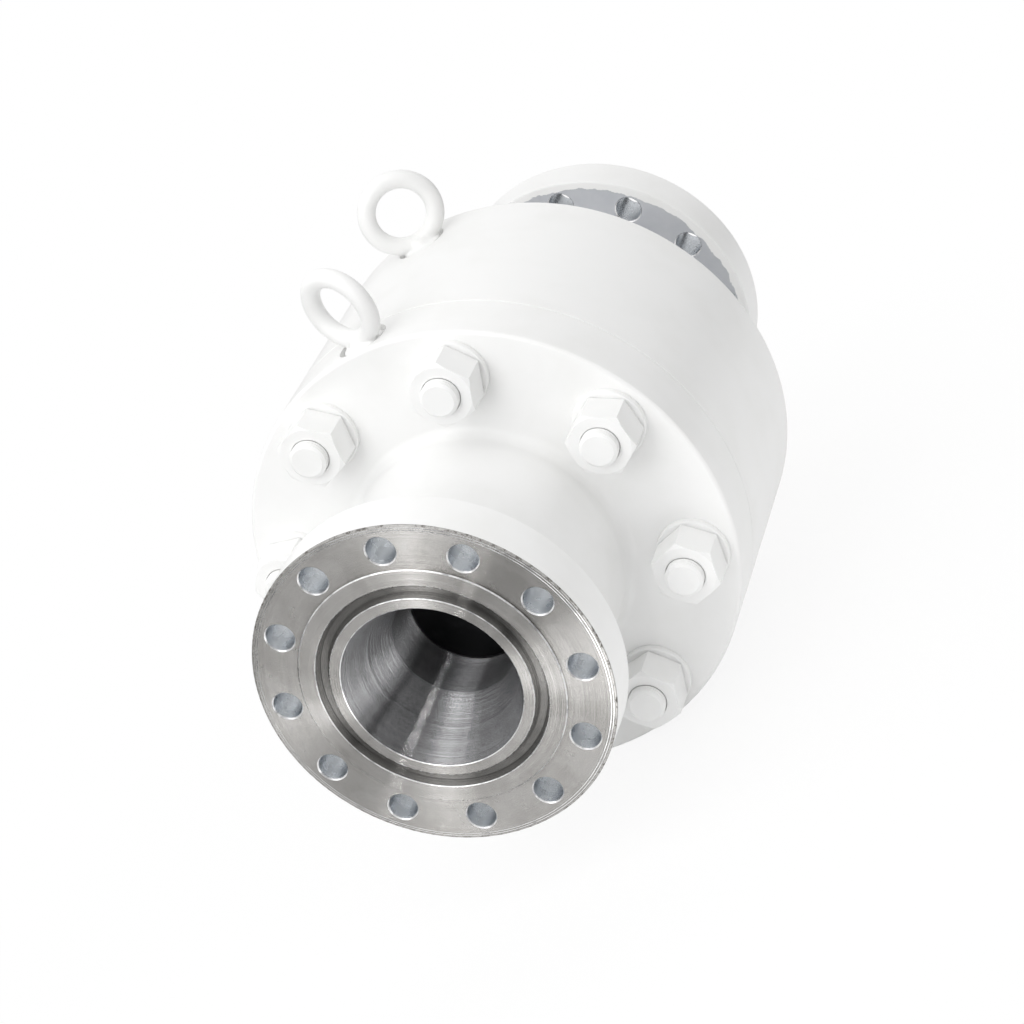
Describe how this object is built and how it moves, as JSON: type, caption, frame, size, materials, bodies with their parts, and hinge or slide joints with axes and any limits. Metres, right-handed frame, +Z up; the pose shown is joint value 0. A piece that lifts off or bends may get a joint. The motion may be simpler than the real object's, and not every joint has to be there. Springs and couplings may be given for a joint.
{
  "type": "non-return valve",
  "caption": "Axial non-return valve with a spring-loaded sliding disc, a bolted two-piece body, ring-joint end flanges and lifting eyes.",
  "frame": {"origin": "centre of the inlet raised face, on the bore axis", "axes": "+X along the flow from the inlet to the outlet, +Z up through the lifting eyes, +Y to the left of the flow"},
  "size_m": [0.916, 0.58, 0.6764],
  "materials": {
    "white_paint": "thick semi-gloss white paint over forged steel",
    "painted_fasteners": "the same white paint over studs, nuts and washers",
    "machined_steel": "turned stainless trim",
    "dark_disc": "dark hard-faced disc",
    "spring_steel": "spring steel wire",
    "bush_bronze": "bronze guide bush",
    "soft_seal": "black elastomer",
    "insert_polymer": "filled polymer seat insert and stop ring",
    "gasket_metal": "spiral-wound gasket",
    "guide_casting": "stainless casting of the flow guide"
  },
  "bodies": {
    "root": {"inlet_closure": "white_paint", "main_body": "white_paint", "closure_studs": "painted_fasteners", "closure_nuts": "painted_fasteners", "closure_washers": "painted_fasteners", "lifting_eye_front": "white_paint", "lifting_eye_rear": "white_paint", "body_gasket": "gasket_metal", "body_o_ring": "soft_seal", "seat_ring": "machined_steel", "seat_insert": "insert_polymer", "seat_o_ring": "soft_seal", "seat_ring_screws": "machined_steel", "guide_body": "guide_casting", "stop_ring": "insert_polymer", "front_guide_bush": "bush_bronze", "rear_guide_bush": "bush_bronze", "bush_retaining_ring": "spring_steel", "tail_cone": "guide_casting", "tail_cone_lock_screw": "machined_steel", "guide_body_dowel": "machined_steel", "closing_spring": "spring_steel"},
    "disc": {"check_disc": "dark_disc", "disc_stem": "machined_steel", "disc_lock_pin": "machined_steel", "spring_plate": "machined_steel"}
  },
  "joints": [
    {"name": "disc_slide", "type": "slide", "parent": "root", "child": "disc", "axis": [1, 0, 0], "range_m": [0, 0.04], "stiffness_N_per_m": 8000, "springref_m": -0.02, "deforming": ["closing_spring"]}
  ]
}
